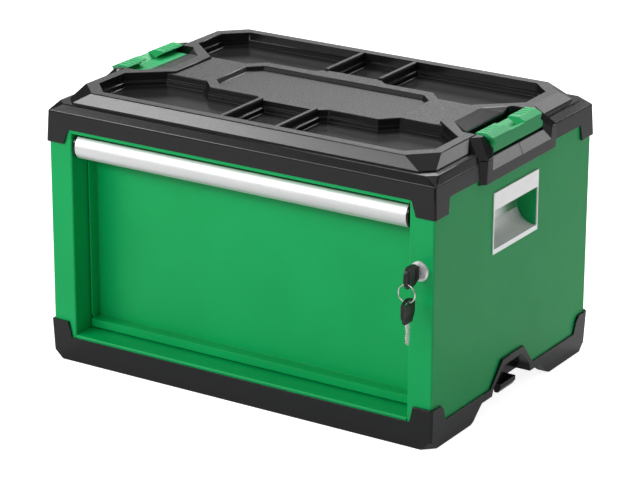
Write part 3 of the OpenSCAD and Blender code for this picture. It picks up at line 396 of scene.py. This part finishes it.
# Which faces of the cover and of the grips take another finish
FLAT_TOP = 0.995                  # least upward part of a grained top's normal
LEANING = 0.9                     # greatest upward part of a tray wall's normal
GRAIN_REACH = 10 * MM             # how far below the rim the grained tops lie
WALL_REACH = 25 * MM              # how far below the rim the trays' walls reach
END_MARGIN = 55 * MM              # from the cover's ends to the trays
FRONT_MARGIN = 38 * MM            # from the cover's front and back to the trays
FACING_OUT = 0.97                 # least sideways part of the normal of a grip's outer face


def dress_cover():
    """Moulded cover: grained on its flat tops, painted paler there as their sheen, dull on the
    trays' walls, satin elsewhere.
    """
    _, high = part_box("top_cover")
    cover = rounded("top_cover", "cover_moulding", moulded, radius=1.0 * MM, crease=FAINT)

    # The upward flat tops take the grained finish with its painted sheen
    def grained_sheen_top(centre, normal):
        return normal.z > FLAT_TOP and centre.z > high.z - GRAIN_REACH

    def tray_side(centre, normal):
        return (normal.z < LEANING and centre.z > high.z - WALL_REACH
                and abs(centre.x) < high.x - END_MARGIN
                and abs(centre.y) < high.y - FRONT_MARGIN)

    # Flat tops get the grained finish, painted paler as their sheen; tray walls get the dull
    # finish
    paint_faces(cover, (grained_sheen, grained_sheen_top), (tray_wall, tray_side))


def dress_base():
    """Moulded base with its corner legs and side arches."""
    rounded("base", "base_moulding", moulded, radius=0.7 * MM, crease=FAINT)


def dress_latches():
    """Green latches, with narrow roundings that leave room beside their grooves."""
    for side in SIDES:
        rounded(f"latch_{side}", f"latch_moulding_{side}", latch_plastic, radius=0.2 * MM)


def dress_drawer():
    """Drawer front, its aluminium pull and the caps at the pull's ends."""
    rounded("drawer_front", "drawer_front_sheet", paint, radius=0.4 * MM)
    rounded("drawer_pull", "pull_profile", aluminium, radius=0.3 * MM)
    for side in SIDES:
        rounded(f"pull_cap_{side}", f"pull_end_cap_{side}", moulded, radius=0.4 * MM)


def dress_grips():
    """Side grips: bright metal on the outer face; the scoop is pale and nearly non-metallic, a
    painted reflection of the bright surroundings.
    """
    for side in SIDES:
        plate = rounded(f"grip_{side}", f"grip_plate_{side}", grip_metal, radius=0.35 * MM)
        # The scoop faces take the pale finish that stands as a painted reflection
        paint_faces(plate, (scoop_painted_reflection, lambda centre, normal: abs(normal.x) < FACING_OUT))


def dress_keys():
    """Moulded heads of the inserted key and of the spare key."""
    for name in ("key_bow", "spare_key_bow"):
        rounded(name, name + "_moulding", key_plastic, radius=0.3 * MM)


# ---------- screws and rivets, made by Geometry Nodes ----------

FASTENER_SIZES = ("Head Radius", "Head Height", "Shank Radius", "Shank Length",
                  "Recess Width In Radii", "Recess Depth In Heights")
RECESS_WIDTH = 0.26               # of each bar of the cross, in head radii
RECESS_LENGTH = 1.1               # of each bar, in head radii
RECESS_DEPTH = 0.6                # in head heights
HEAD_SIDES = 28
HEAD_RINGS = 15
SHANK_SIDES = 20
CREASED = math.radians(35)        # edges sharper than this shade as creases

RIM_SHARE = 0.95                  # share of the radius from which a point is on the rim
AT_FOOT = 0.05 * MM               # how near the end a point counts as the shank's foot

Fastener = namedtuple("Fastener", "seat axis radius height shank length")


class Tree:
    """A Geometry Nodes tree, built up node by node."""

    def __init__(self, name, sizes):
        self.group = bpy.data.node_groups.new(name, "GeometryNodeTree")
        sockets = self.group.interface
        sockets.new_socket("Geometry", in_out="INPUT", socket_type="NodeSocketGeometry")
        sockets.new_socket("Geometry", in_out="OUTPUT", socket_type="NodeSocketGeometry")
        for size in sizes:
            sockets.new_socket(size, in_out="INPUT", socket_type="NodeSocketFloat")
        sockets.new_socket("Seed", in_out="INPUT", socket_type="NodeSocketInt")
        self.given = self.group.nodes.new("NodeGroupInput").outputs

    def feed(self, socket, value):
        """Links a socket to an output, or sets it to a plain value."""
        if isinstance(value, bpy.types.NodeSocket):
            self.group.links.new(value, socket)
        else:
            socket.default_value = value

    def add(self, kind, inputs, **settings):
        """A node with some inputs linked or set; gives back its first output."""
        node = self.group.nodes.new(kind)
        for key, value in settings.items():
            setattr(node, key, value)
        for name, value in inputs.items():
            self.feed(node.inputs[name], value)
        return node.outputs[0]

    def times(self, first, second):
        """The product of two numbers."""
        node = self.group.nodes.new("ShaderNodeMath")
        node.operation = "MULTIPLY"
        self.feed(node.inputs[0], first)
        self.feed(node.inputs[1], second)
        return node.outputs[0]

    def vector(self, x, y, z):
        """A vector of three numbers."""
        return self.add("ShaderNodeCombineXYZ", {"X": x, "Y": y, "Z": z})

    def block(self, size, place):
        """A block of a size, centred on a place."""
        cube = self.add("GeometryNodeMeshCube", {"Size": size})
        return self.add("GeometryNodeTransform", {"Geometry": cube, "Translation": place})

    def less(self, solid, cutter):
        """The solid with the cutter taken away."""
        cut = self.group.nodes.new("GeometryNodeMeshBoolean")
        cut.operation = "DIFFERENCE"
        cut.solver = "EXACT"
        self.group.links.new(solid, cut.inputs[0])
        self.group.links.new(cutter, cut.inputs[1])
        return cut.outputs[0]

    def together(self, *parts):
        """Several pieces of geometry as one."""
        joined = self.group.nodes.new("GeometryNodeJoinGeometry")
        for part in parts:
            self.group.links.new(part, joined.inputs[0])
        return joined.outputs[0]

    def ending_in(self, geometry):
        """The whole tree, with the geometry sent to its output."""
        out = self.group.nodes.new("NodeGroupOutput")
        self.group.links.new(geometry, out.inputs[0])
        return self.group


def fastener_tree(name, finish, recessed):
    """Domed heads with shanks, one on each point, along the point's axis attribute."""
    tree = Tree(name, FASTENER_SIZES)
    radius, height, shank, length, width, depth = (tree.given[size] for size in FASTENER_SIZES)
    # The head is cut as a half ball of radius one, and takes its real size afterwards
    ball = tree.add("GeometryNodeMeshUVSphere",
                    {"Segments": HEAD_SIDES, "Rings": HEAD_RINGS, "Radius": 1.0})
    lower_half = tree.block(size=(4.0, 4.0, 2.0), place=(0.0, 0.0, -1.0))
    dome = tree.less(ball, lower_half)
    if recessed:
        deep = tree.times(depth, 2.0)
        top = (0.0, 0.0, 1.0)
        dome = tree.less(dome, tree.block(tree.vector(RECESS_LENGTH, width, deep), top))
        dome = tree.less(dome, tree.block(tree.vector(width, RECESS_LENGTH, deep), top))
    head = tree.add("GeometryNodeTransform",
                    {"Geometry": dome, "Scale": tree.vector(radius, radius, height)})
    rod = tree.add("GeometryNodeMeshCylinder",
                   {"Vertices": SHANK_SIDES, "Radius": shank, "Depth": length})
    below = tree.vector(0.0, 0.0, tree.times(length, -0.5))
    rod = tree.add("GeometryNodeTransform", {"Geometry": rod, "Translation": below})
    axis = tree.add("GeometryNodeInputNamedAttribute", {"Name": "axis"},
                    data_type="FLOAT_VECTOR")
    aim = tree.add("FunctionNodeAlignRotationToVector", {"Vector": axis}, axis="Z")
    placed = tree.add("GeometryNodeInstanceOnPoints",
                      {"Points": tree.given["Geometry"], "Instance": tree.together(head, rod),
                       "Rotation": aim})
    chance = tree.group.nodes.new("FunctionNodeRandomValue")
    tree.group.links.new(tree.given["Seed"], chance.inputs["Seed"])
    spin = tree.vector(0.0, 0.0, tree.times(chance.outputs[1], math.pi))
    turned = tree.add("GeometryNodeRotateInstances", {"Instances": placed, "Rotation": spin})
    whole = tree.add("GeometryNodeRealizeInstances", {"Geometry": turned})
    coated = tree.add("GeometryNodeSetMaterial", {"Geometry": whole, "Material": finish})
    return tree.ending_in(coated)


def islands(node):
    """The corner points of each separate solid of a CAD node."""
    work = bmesh.new()
    work.from_mesh(nodes[node].data)
    bmesh.ops.remove_doubles(work, verts=work.verts, dist=SLIVER)
    left = set(work.verts)
    found = []
    for first in work.verts:
        if first not in left:
            continue
        left.remove(first)
        front = [first]
        island = []
        while front:
            vert = front.pop()
            island.append(vert.co.copy())
            near = {link.other_vert(vert) for link in vert.link_edges} & left
            left -= near
            front.extend(near)
        found.append(island)
    work.free()
    return found


def measured(points):
    """The place and sizes of one fastener, measured on its CAD solid."""
    axes = range(3)
    least = [min(point[i] for point in points) for i in axes]
    most = [max(point[i] for point in points) for i in axes]
    spans = [most[i] - least[i] for i in axes]
    middle = Vector([(most[i] + least[i]) / 2 for i in axes])
    # The two spans across a round body are equal, so the odd one out lies along it
    along = max(axes, key=lambda i: abs(3 * spans[i] - sum(spans)))
    across = [i for i in axes if i != along]
    reach = [math.hypot(*(point[i] - middle[i] for i in across)) for point in points]
    radius = max(reach)
    rim = [point[along] for point, out in zip(points, reach) if out > RIM_SHARE * radius]
    way = 1 if sum(rim) / len(rim) > middle[along] else -1
    top = middle[along] + way * spans[along] / 2
    foot = middle[along] - way * spans[along] / 2
    shank = max(out for point, out in zip(points, reach) if abs(point[along] - foot) < AT_FOOT)
    middle[along] = min(rim) if way > 0 else max(rim)
    axis = Vector((0, 0, 0))
    axis[along] = way
    return Fastener(seat=middle, axis=axis, radius=radius, height=abs(top - middle[along]),
                    shank=shank, length=abs(middle[along] - foot))


def make_plain(obj):
    """Turns the object's evaluated shape into its plain mesh and removes its modifiers."""
    shown = obj.evaluated_get(bpy.context.evaluated_depsgraph_get())
    mesh = bpy.data.meshes.new_from_object(shown)
    old = obj.data
    obj.modifiers.clear()
    obj.data = mesh
    bpy.data.meshes.remove(old)


def dress_fasteners(node, piece, tree, seed):
    """Geometry Nodes fasteners in the places of a CAD node's solids."""
    fasteners = [measured(points) for points in islands(node)]
    mesh = bpy.data.meshes.new(piece)
    mesh.from_pydata([fastener.seat for fastener in fasteners], [], [])
    axes = mesh.attributes.new("axis", "FLOAT_VECTOR", "POINT")
    for item, fastener in zip(axes.data, fasteners):
        item.vector = fastener.axis
    obj = new_object(piece, mesh)
    maker = obj.modifiers.new("fasteners", "NODES")
    maker.node_group = tree
    first = fasteners[0]
    values = dict(zip(FASTENER_SIZES, (first.radius, first.height, first.shank, first.length,
                                       RECESS_WIDTH, RECESS_DEPTH)))
    values["Seed"] = seed
    for item in tree.interface.items_tree:
        if item.in_out == "INPUT" and item.name in values:
            maker[item.identifier] = values[item.name]
    make_plain(obj)
    obj.data.materials.clear()
    obj.data.materials.append(zinc)
    for face in obj.data.polygons:
        face.material_index = 0
    obj.data.shade_smooth()
    obj.data.set_sharp_from_angle(angle=CREASED)
    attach(obj, body_holding(node))
    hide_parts(node)


def dress_screws_and_rivets():
    """Plain domed rivets, and screws with a cross recess."""
    rivets = fastener_tree("rivets", zinc, recessed=False)
    screws = fastener_tree("cross_screws", zinc, recessed=True)
    for seed, node in enumerate(("back_rivets", "drawer_rivets")):
        dress_fasteners(node, node + "_domed", rivets, seed)
    for seed, node in enumerate(("base_screws", "catch_screws", "cover_screws", "pull_screws",
                                 "cam_screw", "outer_rail_screws", "inner_rail_screws")):
        dress_fasteners(node, node + "_crossed", screws, seed)


# ---------- light, floor and camera ----------

WHITE = (1.0, 1.0, 1.0, 1.0)
LAMP_TARGET = Vector((0, 0, 0.35))
FLOOR_SIDE = 12
FLOOR_GREY = (0.60, 0.60, 0.60)

CAMERA_PLACE = (1.8288, -2.9034, 1.3887)
CAMERA_AZIMUTH = math.radians(32.224)
CAMERA_ELEVATION = math.radians(19.774)
CAMERA_ROLL = math.radians(0.240)
CAMERA_LENS = 160.15
CAMERA_SENSOR = 36.0
CAMERA_REACH = 50


def softbox(name, toward, reach, elevation, size, radiance):
    """A rectangular lamp that faces the box from a bearing (x, y) and an elevation."""
    rise = math.radians(elevation)
    flat = Vector((*toward, 0)).normalized() * math.cos(rise)
    away = flat + Vector((0, 0, math.sin(rise)))
    data = bpy.data.lights.new(name, "AREA")
    data.shape = "RECTANGLE"
    data.size, data.size_y = size
    data.energy = radiance * math.pi * size[0] * size[1]
    lamp = new_object(name, data)
    lamp.location = LAMP_TARGET + away * reach
    lamp.rotation_euler = away.to_track_quat("Z", "Y").to_euler()
    lamp.visible_camera = False


def surround(dim):
    """A world that is white for the camera and dim as a light."""
    world = bpy.data.worlds.new("surround")
    world.use_nodes = True
    tree = world.node_tree
    lit = tree.nodes["Background"]
    lit.inputs["Color"].default_value = WHITE
    lit.inputs["Strength"].default_value = dim
    seen = tree.nodes.new("ShaderNodeBackground")
    seen.inputs["Strength"].default_value = 1.0
    ray = tree.nodes.new("ShaderNodeLightPath")
    mix = tree.nodes.new("ShaderNodeMixShader")
    tree.links.new(ray.outputs["Is Camera Ray"], mix.inputs["Fac"])
    tree.links.new(lit.outputs["Background"], mix.inputs[1])
    tree.links.new(seen.outputs["Background"], mix.inputs[2])
    tree.links.new(mix.outputs["Shader"], tree.nodes["World Output"].inputs["Surface"])
    bpy.context.scene.world = world


def white_floor(glow, lift):
    """A plain white floor that glows a little, and more for the camera."""
    bpy.ops.mesh.primitive_plane_add(size=FLOOR_SIDE)
    floor = bpy.context.active_object
    floor.name = "floor"
    sheet = Finish("floor_sheet", FLOOR_GREY, roughness=0.9)
    sheet.socket("Specular IOR Level", 0.0)
    sheet.socket("Emission Color", WHITE)
    ray = sheet.tree.nodes.new("ShaderNodeLightPath")
    glowing = sheet.ramp(ray.outputs["Is Camera Ray"], 0.0, 1.0, glow, glow + lift)
    sheet.link(glowing, sheet.shader.inputs["Emission Strength"])
    floor.data.materials.append(sheet.material)


def studio():
    """A glowing white floor, a dim surround and the softboxes around the box."""
    surround(dim=0.06)
    white_floor(glow=0.22, lift=0.68)
    # Strips in front light the drawer and show in the cover's front chamfers
    softbox("key_strip", toward=(-0.74, -0.67), reach=3.0, elevation=25,
            size=(1.3, 0.48), radiance=12.5)
    softbox("front_strip", toward=(-0.20, -0.98), reach=3.0, elevation=25,
            size=(3.2, 0.48), radiance=10.2)
    # Even light from straight above
    softbox("overhead", toward=(0, -1), reach=3.0, elevation=89.9,
            size=(3.2, 2.6), radiance=0.5)
    # Low on the right, mirrored by the chamfers there, and a fill for the side and its grip
    softbox("right_strip", toward=(0.58, 0.80), reach=3.0, elevation=9.5,
            size=(1.2, 0.48), radiance=4.6)
    softbox("side_fill", toward=(0.95, 0.30), reach=2.5, elevation=35,
            size=(0.9, 0.7), radiance=2.4)
    # Behind: a faint card that the flat tops mirror, and a near, high lamp for their grain
    softbox("back_card", toward=(-0.58, 0.81), reach=3.5, elevation=11.5,
            size=(2.0, 0.95), radiance=0.5)
    softbox("back_lamp", toward=(-0.29, 0.96), reach=1.45, elevation=50,
            size=(1.1, 0.75), radiance=9.2)


def camera():
    """Long lens, in front of the box's right-hand corner and above it."""
    data = bpy.data.cameras.new("camera")
    data.lens = CAMERA_LENS
    data.sensor_width = CAMERA_SENSOR
    data.clip_end = CAMERA_REACH
    turn = (Matrix.Rotation(CAMERA_AZIMUTH, 4, "Z")
            @ Matrix.Rotation(math.pi / 2 - CAMERA_ELEVATION, 4, "X")
            @ Matrix.Rotation(CAMERA_ROLL, 4, "Z"))
    obj = new_object("camera", data)
    obj.matrix_world = Matrix.Translation(CAMERA_PLACE) @ turn
    bpy.context.scene.camera = obj


camera()
studio()
dress_cad_nodes()
dress_cover()
dress_base()
dress_latches()
dress_drawer()
dress_grips()
dress_keys()
dress_screws_and_rivets()
bpy.context.scene.view_settings.view_transform = "Standard"
